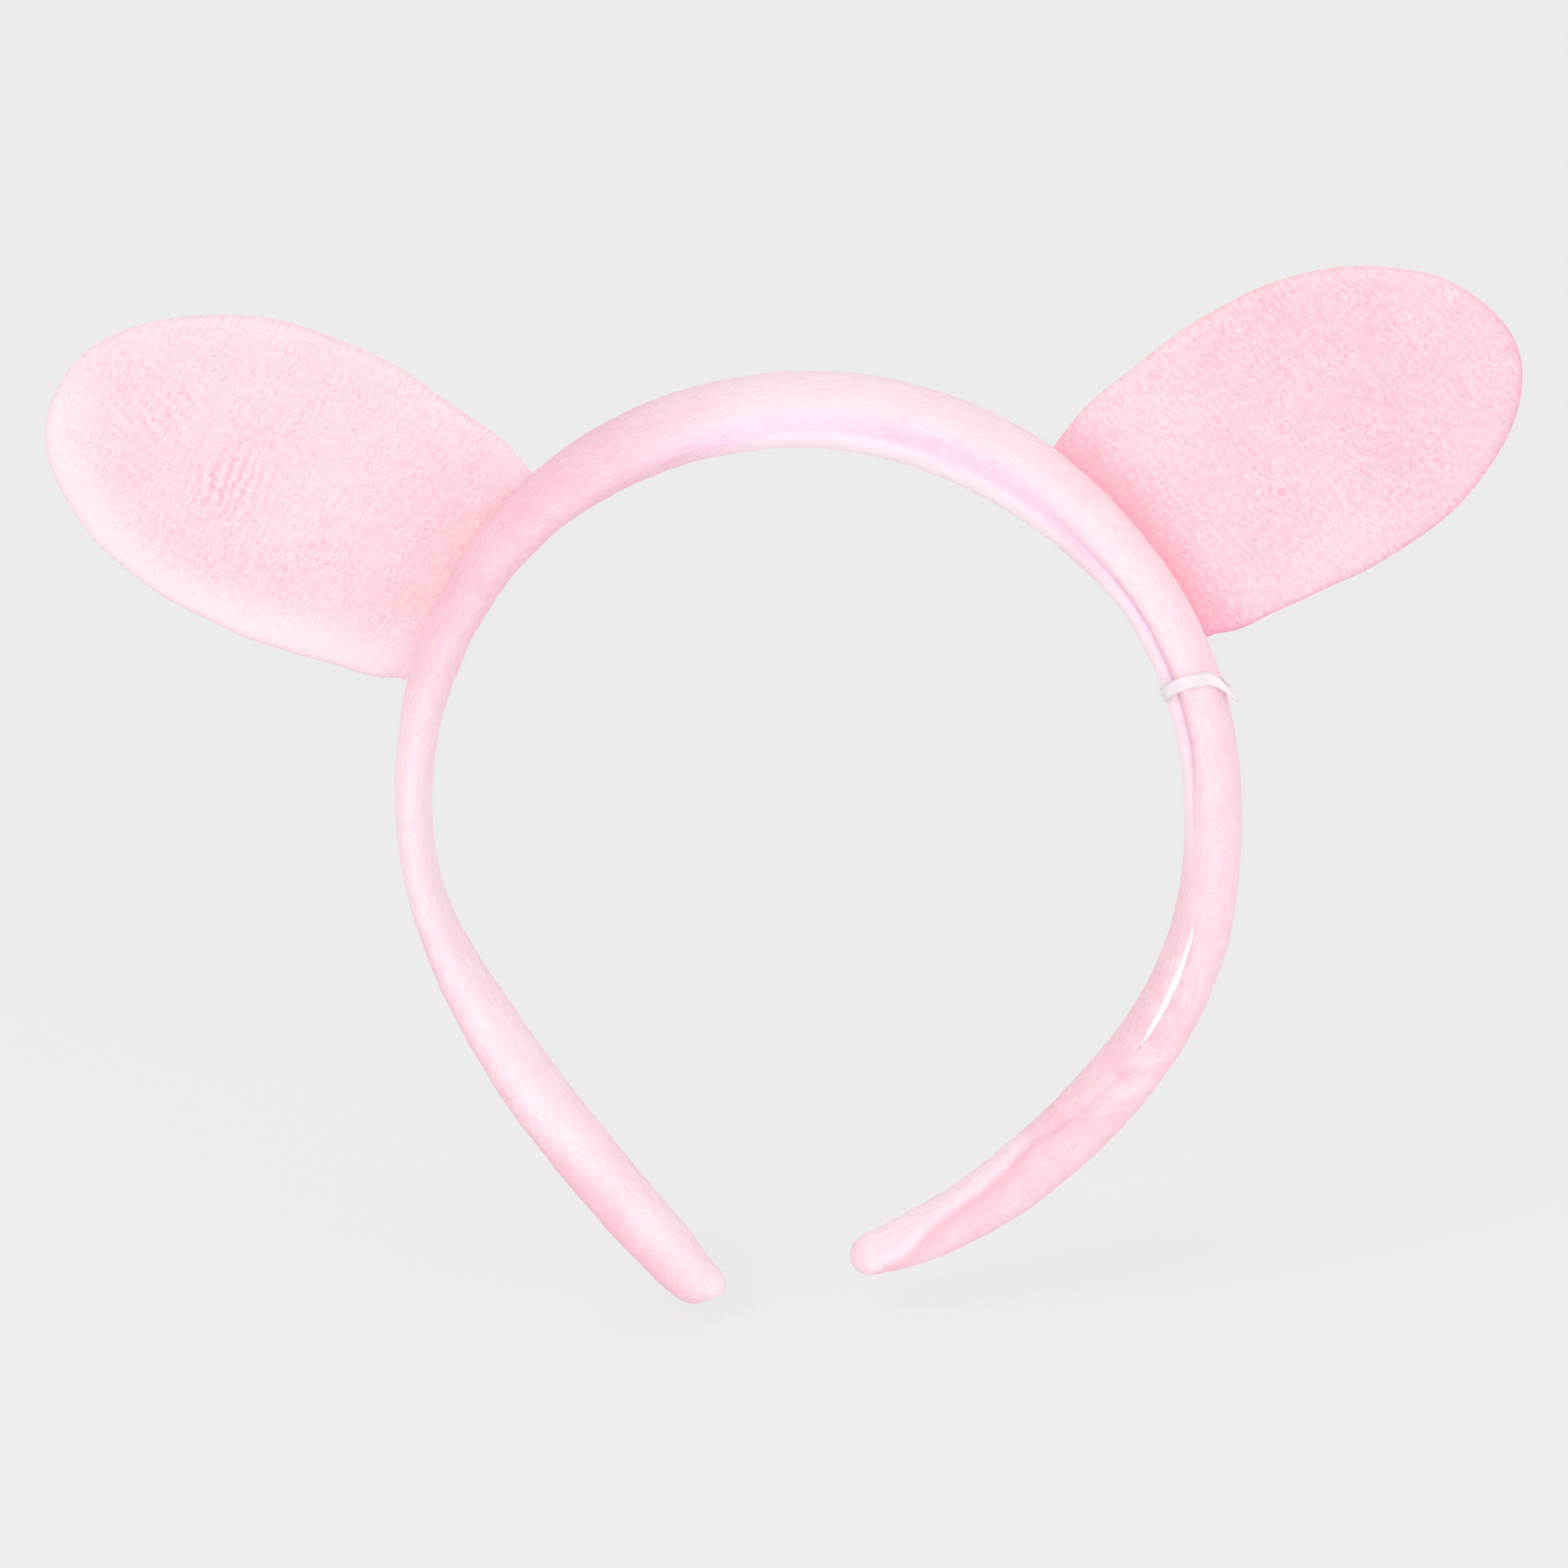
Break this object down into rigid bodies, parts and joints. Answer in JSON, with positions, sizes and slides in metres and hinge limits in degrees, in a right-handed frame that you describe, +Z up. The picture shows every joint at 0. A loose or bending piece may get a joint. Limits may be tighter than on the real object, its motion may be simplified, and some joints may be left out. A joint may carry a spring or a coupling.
{
  "type": "animal ears headband",
  "caption": "Plush-covered alice band with two rounded soft animal ears sewn to its back edge and a loose clear loop round one arm.",
  "frame": {"origin": "centre of the band's inner arc, on the band's middle plane, where the wearer's head sits", "axes": "+Z up towards the ears, +X to the wearer's left, -Y to the front"},
  "size_m": [0.2345, 0.0216, 0.1702],
  "materials": {
    "band_plush": "short-pile plush",
    "ear_plush": "short-pile plush with directional nap",
    "pink_lining": "knitted plush backing strip",
    "pink_thread": "polyester sewing thread",
    "strip_plastic": "white moulded polypropylene",
    "soft_foam": "soft open-cell foam and fibre fill",
    "clear_film": "clear flexible film"
  },
  "bodies": {
    "band": {"band_core": "strip_plastic", "band_padding": "soft_foam", "band_cover": "band_plush", "band_lining": "pink_lining", "left_tip_wrap": "band_plush", "right_tip_wrap": "band_plush", "left_ear_base_tab": "pink_lining", "left_ear_base_stitches": "pink_thread", "right_ear_base_tab": "pink_lining", "right_ear_base_stitches": "pink_thread"},
    "left_ear": {"left_ear_front_panel": "ear_plush", "left_ear_back_panel": "ear_plush", "left_ear_filling": "soft_foam", "left_ear_edge_seam": "pink_thread"},
    "right_ear": {"right_ear_front_panel": "ear_plush", "right_ear_back_panel": "ear_plush", "right_ear_filling": "soft_foam", "right_ear_edge_seam": "pink_thread"},
    "loop": {"clear_loop": "clear_film"}
  },
  "joints": [
    {"name": "left_ear_bend", "type": "hinge", "parent": "band", "child": "left_ear", "pos_m": [-0.0451, 0.0102, 0.057], "axis": [-0.5318, 0, -0.8469], "range_deg": [-25, 60], "stiffness_Nm_per_rad": 0.012},
    {"name": "right_ear_bend", "type": "hinge", "parent": "band", "child": "right_ear", "pos_m": [0.0388, 0.0102, 0.0613], "axis": [-0.6334, 0, 0.7738], "range_deg": [-25, 60], "stiffness_Nm_per_rad": 0.012},
    {"name": "loop_slide", "type": "hinge", "parent": "band", "child": "loop", "pos_m": [-0.00241, 0, 0.00115], "axis": [0, 1, 0], "range_deg": [0, 17]}
  ]
}
